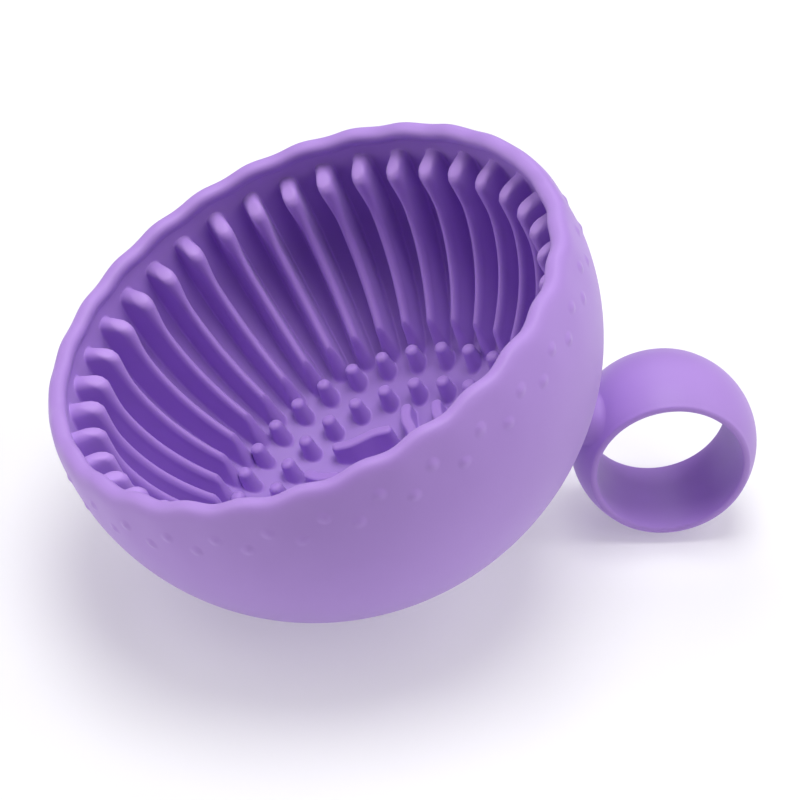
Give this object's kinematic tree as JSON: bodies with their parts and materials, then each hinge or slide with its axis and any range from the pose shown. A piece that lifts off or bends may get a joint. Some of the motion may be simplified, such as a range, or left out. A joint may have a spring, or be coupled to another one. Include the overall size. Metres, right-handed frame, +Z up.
{
  "type": "brush cleaner",
  "caption": "Round silicone bowl for washing make-up brushes, ribbed and studded inside, leaning on a finger ring fixed under its side.",
  "frame": {"origin": "on the table, below the middle of the part's bounding box, in the pose in which it rests", "axes": "+Z up from the table; +Y along the bore of the finger ring; +X from the bowl towards the ring"},
  "size_m": [0.1316, 0.1004, 0.0765],
  "materials": {
    "silicone": "satin lavender-purple silicone",
    "silicone_inside": "satin lavender-purple silicone, the same moulding"
  },
  "bodies": {
    "root": {"bowl_floor": "silicone", "bowl_shell": "silicone", "finger_ring": "silicone", "inner_nub_row": "silicone_inside", "inner_ridge_1": "silicone_inside", "inner_ridge_2": "silicone_inside", "inner_ridge_3": "silicone_inside", "inner_ridge_4": "silicone_inside", "lower_grip_dots": "silicone", "middle_ridge_1": "silicone_inside", "middle_ridge_2": "silicone_inside", "outer_nub_row": "silicone_inside", "outer_ridge_1": "silicone_inside", "outer_ridge_2": "silicone_inside", "outer_ridge_3": "silicone_inside", "outer_ridge_4": "silicone_inside", "radial_ridge_1": "silicone_inside", "radial_ridge_2": "silicone_inside", "rim_lip": "silicone", "ring_neck": "silicone", "scrub_rib_01": "silicone_inside", "scrub_rib_02": "silicone_inside", "scrub_rib_03": "silicone_inside", "scrub_rib_04": "silicone_inside", "scrub_rib_05": "silicone_inside", "scrub_rib_06": "silicone_inside", "scrub_rib_07": "silicone_inside", "scrub_rib_08": "silicone_inside", "scrub_rib_09": "silicone_inside", "scrub_rib_10": "silicone_inside", "scrub_rib_11": "silicone_inside", "scrub_rib_12": "silicone_inside", "scrub_rib_13": "silicone_inside", "scrub_rib_14": "silicone_inside", "scrub_rib_15": "silicone_inside", "scrub_rib_16": "silicone_inside", "scrub_rib_17": "silicone_inside", "scrub_rib_18": "silicone_inside", "scrub_rib_19": "silicone_inside", "scrub_rib_20": "silicone_inside", "scrub_rib_21": "silicone_inside", "scrub_rib_22": "silicone_inside", "scrub_rib_23": "silicone_inside", "scrub_rib_24": "silicone_inside", "scrub_rib_25": "silicone_inside", "scrub_rib_26": "silicone_inside", "scrub_rib_27": "silicone_inside", "scrub_rib_28": "silicone_inside", "scrub_rib_29": "silicone_inside", "scrub_rib_30": "silicone_inside", "scrub_rib_31": "silicone_inside", "scrub_rib_32": "silicone_inside", "scrub_rib_33": "silicone_inside", "scrub_rib_34": "silicone_inside", "scrub_rib_35": "silicone_inside", "scrub_rib_36": "silicone_inside", "scrub_rib_37": "silicone_inside", "scrub_rib_38": "silicone_inside", "upper_grip_dots": "silicone"}
  },
  "joints": []
}
